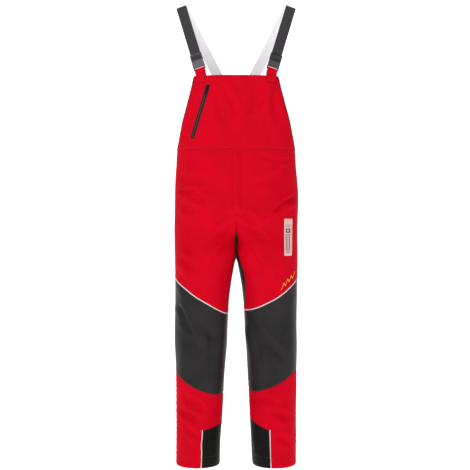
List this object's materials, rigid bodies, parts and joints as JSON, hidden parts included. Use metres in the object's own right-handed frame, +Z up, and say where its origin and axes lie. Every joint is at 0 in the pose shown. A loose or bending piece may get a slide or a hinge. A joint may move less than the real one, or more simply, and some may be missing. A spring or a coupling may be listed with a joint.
{
  "type": "bib ski pants",
  "caption": "Bib ski pants with clip-buckle elastic braces, a slanting chest zip, side zips, dark knee panels with pale piping, and ankle kick patches.",
  "frame": {"origin": "midway between the undersides of the two brace loops, where they rest on the wearer's shoulders", "axes": "+Z up, -Y is the front, +X is the wearer's left"},
  "size_m": [0.4166, 0.2906, 1.5539],
  "materials": {
    "red_shell": "matte woven red polyester shell, quilted to its lining",
    "black_shell": "matte black reinforcing fabric",
    "black_webbing": "ribbed elastic webbing, dark grey outside and pale inside",
    "white_piping": "smooth pale reflective piping",
    "grey_lining": "plain grey lining",
    "black_plastic": "moulded dark grey plastic",
    "zip_black": "black zip tape with a plastic coil",
    "zip_metal": "black painted die-cast zinc",
    "label_white": "pale printed label with plain stripes",
    "thread_yellow": "yellow-orange embroidery thread"
  },
  "bodies": {
    "torso": {"bib_front_panel": "red_shell", "back_yoke": "red_shell", "fly_placket": "red_shell", "waist_elastic": "black_shell", "brace_patch": "black_shell", "chest_pocket_bag": "grey_lining", "chest_zip_tape": "zip_black", "fly_zip_tape": "zip_black", "front_hip_panel_left": "red_shell", "seat_panel_left": "red_shell", "strap_tab_left": "red_shell", "shoulder_brace_left": "black_webbing", "buckle_socket_left": "black_plastic", "side_zip_tape_left": "zip_black", "front_hip_panel_right": "red_shell", "seat_panel_right": "red_shell", "strap_tab_right": "red_shell", "shoulder_brace_right": "black_webbing", "buckle_socket_right": "black_plastic", "side_zip_tape_right": "zip_black"},
    "thigh_left": {"front_thigh_panel_left": "red_shell", "back_thigh_panel_left": "red_shell", "inner_thigh_gusset_left": "black_shell", "knee_panel_upper_left": "black_shell", "knee_piping_left": "white_piping", "thigh_label": "label_white", "thigh_embroidery": "thread_yellow"},
    "shin_left": {"knee_panel_lower_left": "black_shell", "shin_panel_left": "red_shell", "calf_panel_left": "red_shell", "kick_patch_left": "black_shell", "ankle_piping_left": "white_piping"},
    "prong_left": {"buckle_prong_left": "black_plastic"},
    "arm_inner_left": {"buckle_arm_inner_left": "black_plastic"},
    "arm_outer_left": {"buckle_arm_outer_left": "black_plastic"},
    "side_slider_left": {"side_zip_slider_left": "zip_metal"},
    "side_puller_left": {"side_zip_puller_left": "zip_metal"},
    "thigh_right": {"front_thigh_panel_right": "red_shell", "back_thigh_panel_right": "red_shell", "inner_thigh_gusset_right": "black_shell", "knee_panel_upper_right": "black_shell", "knee_piping_right": "white_piping"},
    "shin_right": {"knee_panel_lower_right": "black_shell", "shin_panel_right": "red_shell", "calf_panel_right": "red_shell", "kick_patch_right": "black_shell", "ankle_piping_right": "white_piping"},
    "prong_right": {"buckle_prong_right": "black_plastic"},
    "arm_inner_right": {"buckle_arm_inner_right": "black_plastic"},
    "arm_outer_right": {"buckle_arm_outer_right": "black_plastic"},
    "side_slider_right": {"side_zip_slider_right": "zip_metal"},
    "side_puller_right": {"side_zip_puller_right": "zip_metal"},
    "chest_zip_slider": {"chest_zip_slider": "zip_metal"},
    "chest_zip_puller": {"chest_zip_puller": "zip_metal"},
    "fly_zip_slider": {"fly_zip_slider": "zip_metal"}
  },
  "joints": [
    {"name": "hip_left", "type": "hinge", "parent": "torso", "child": "thigh_left", "pos_m": [0, -0.1385, -0.714], "axis": [-1, 0, 0], "range_deg": [0, 60]},
    {"name": "knee_left", "type": "hinge", "parent": "thigh_left", "child": "shin_left", "pos_m": [0, 0.0895, -1.114], "axis": [1, 0, 0], "range_deg": [0, 70]},
    {"name": "buckle_left", "type": "slide", "parent": "torso", "child": "prong_left", "axis": [0.2611, 0.3977, 0.8795], "range_m": [0, 0.06]},
    {"name": "arm_inner_left", "type": "hinge", "parent": "prong_left", "child": "arm_inner_left", "pos_m": [0.11526, -0.08934, -0.20895], "axis": [0.211, -0.9126, 0.3501], "range_deg": [0, 8], "stiffness_Nm_per_rad": 0.02},
    {"name": "arm_outer_left", "type": "hinge", "parent": "prong_left", "child": "arm_outer_left", "pos_m": [0.13825, -0.08704, -0.21681], "axis": [0.211, -0.9126, 0.3501], "range_deg": [-8, 0], "stiffness_Nm_per_rad": 0.02},
    {"name": "side_zip_left", "type": "slide", "parent": "torso", "child": "side_slider_left", "axis": [0.0665, 0.1245, -0.99], "range_m": [0, 0.11]},
    {"name": "side_puller_left", "type": "hinge", "parent": "side_slider_left", "child": "side_puller_left", "pos_m": [0.20131, 0.03322, -0.52184], "axis": [-0.2995, 0.9529, 0.0477], "range_deg": [-100, 0]},
    {"name": "hip_right", "type": "hinge", "parent": "torso", "child": "thigh_right", "pos_m": [0, -0.1385, -0.714], "axis": [-1, 0, 0], "range_deg": [0, 60]},
    {"name": "knee_right", "type": "hinge", "parent": "thigh_right", "child": "shin_right", "pos_m": [0, 0.0895, -1.114], "axis": [1, 0, 0], "range_deg": [0, 70]},
    {"name": "buckle_right", "type": "slide", "parent": "torso", "child": "prong_right", "axis": [-0.2611, 0.3977, 0.8795], "range_m": [0, 0.06]},
    {"name": "arm_inner_right", "type": "hinge", "parent": "prong_right", "child": "arm_inner_right", "pos_m": [-0.11526, -0.08934, -0.20895], "axis": [-0.211, -0.9126, 0.3501], "range_deg": [-8, 0], "stiffness_Nm_per_rad": 0.02},
    {"name": "arm_outer_right", "type": "hinge", "parent": "prong_right", "child": "arm_outer_right", "pos_m": [-0.13825, -0.08704, -0.21681], "axis": [-0.211, -0.9126, 0.3501], "range_deg": [0, 8], "stiffness_Nm_per_rad": 0.02},
    {"name": "side_zip_right", "type": "slide", "parent": "torso", "child": "side_slider_right", "axis": [-0.0665, 0.1245, -0.99], "range_m": [0, 0.11]},
    {"name": "side_puller_right", "type": "hinge", "parent": "side_slider_right", "child": "side_puller_right", "pos_m": [-0.20131, 0.03322, -0.52184], "axis": [-0.2995, -0.9529, -0.0477], "range_deg": [-100, 0]},
    {"name": "chest_zip", "type": "slide", "parent": "torso", "child": "chest_zip_slider", "axis": [-0.2942, 0.0532, -0.9543], "range_m": [0, 0.12]},
    {"name": "chest_puller", "type": "hinge", "parent": "chest_zip_slider", "child": "chest_zip_puller", "pos_m": [-0.09471, -0.12402, -0.30165], "axis": [0.9252, -0.2355, -0.2976], "range_deg": [-100, 0]},
    {"name": "fly_zip", "type": "slide", "parent": "torso", "child": "fly_zip_slider", "axis": [0, -0.014, -0.9999], "range_m": [0, 0.13]}
  ],
  "couplings": [
    {"joint": "arm_outer_left", "follows": "arm_inner_left", "ratio": -1},
    {"joint": "arm_outer_right", "follows": "arm_inner_right", "ratio": -1}
  ]
}
